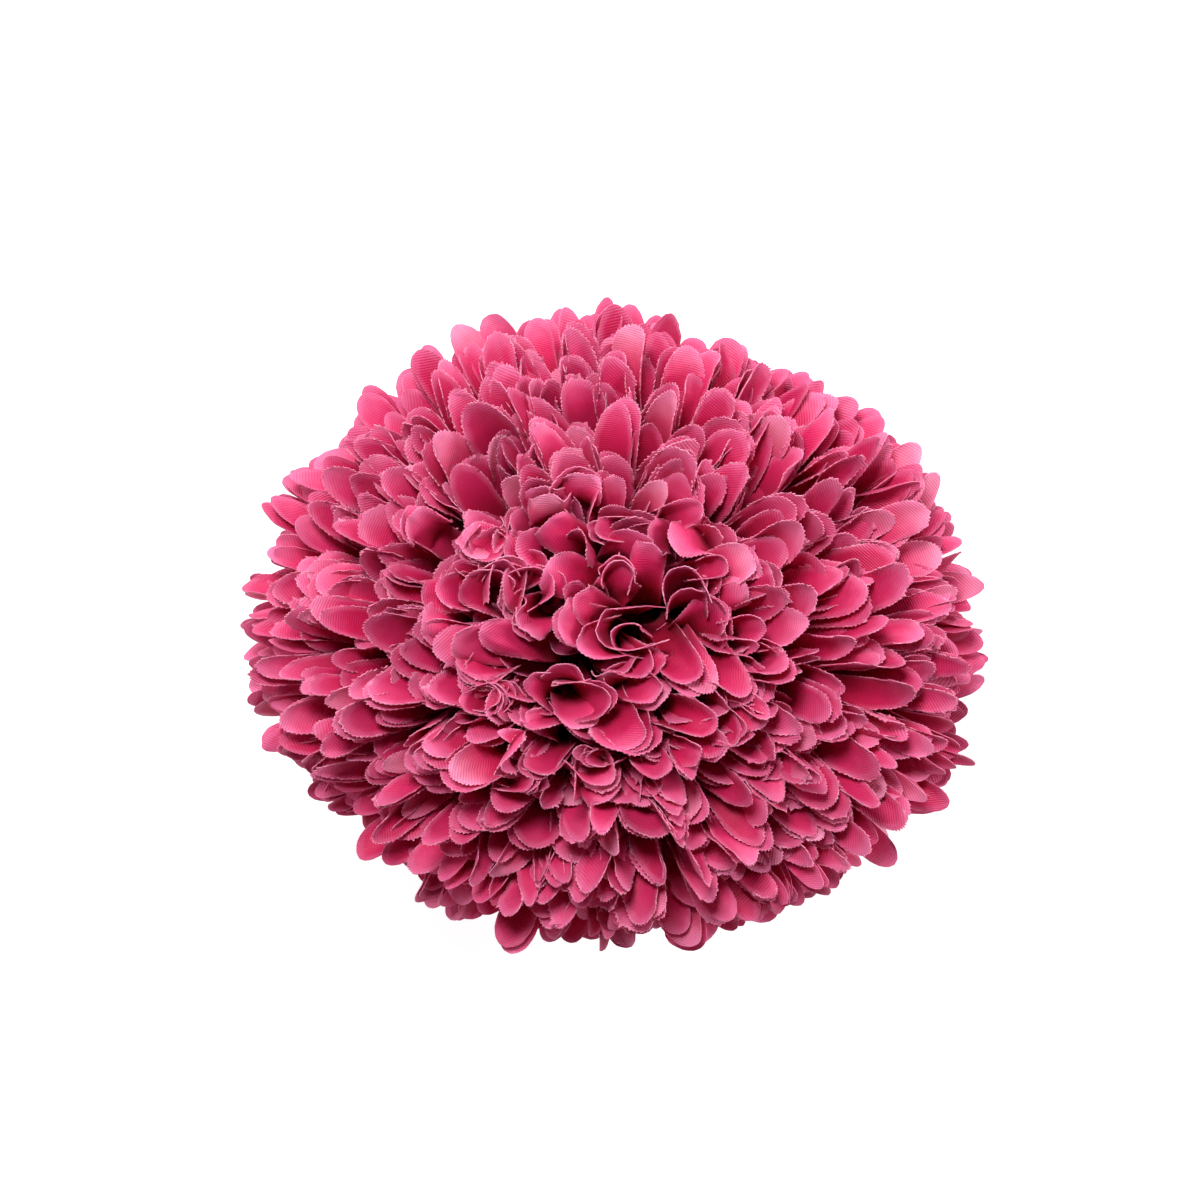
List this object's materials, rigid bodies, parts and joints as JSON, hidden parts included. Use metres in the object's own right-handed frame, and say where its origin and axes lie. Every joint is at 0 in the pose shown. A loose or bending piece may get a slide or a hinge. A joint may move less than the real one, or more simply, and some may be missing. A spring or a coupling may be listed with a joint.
{
  "type": "artificial pompon chrysanthemum head",
  "caption": "Round, slightly flattened pompon flower head of layered woven-cloth petals in deep pink, with a bud of rolled folds and a plastic back cup.",
  "frame": {"origin": "on the surface that the head lies on, under the middle of its outline", "axes": "+Z along the flower's axis, from the back cup to the bud; +X across the width; +Y towards the side whose petals reach further"},
  "size_m": [0.089, 0.0774, 0.054],
  "materials": {
    "petal_cloth": "matt ribbed polyester cloth with pale frayed edges",
    "bud_cloth": "matt ribbed polyester cloth with pale frayed edges",
    "cup_plastic": "satin moulded plastic",
    "pin_plastic": "satin moulded plastic"
  },
  "bodies": {
    "root": {"back_cup": "cup_plastic", "centre_pin": "pin_plastic", "crown_folds": "bud_cloth", "petal_tier_01": "petal_cloth", "petal_tier_02": "petal_cloth", "petal_tier_03": "petal_cloth", "petal_tier_04": "petal_cloth", "petal_tier_05": "petal_cloth", "petal_tier_06": "petal_cloth", "petal_tier_07": "petal_cloth", "petal_tier_08": "petal_cloth"}
  },
  "joints": []
}
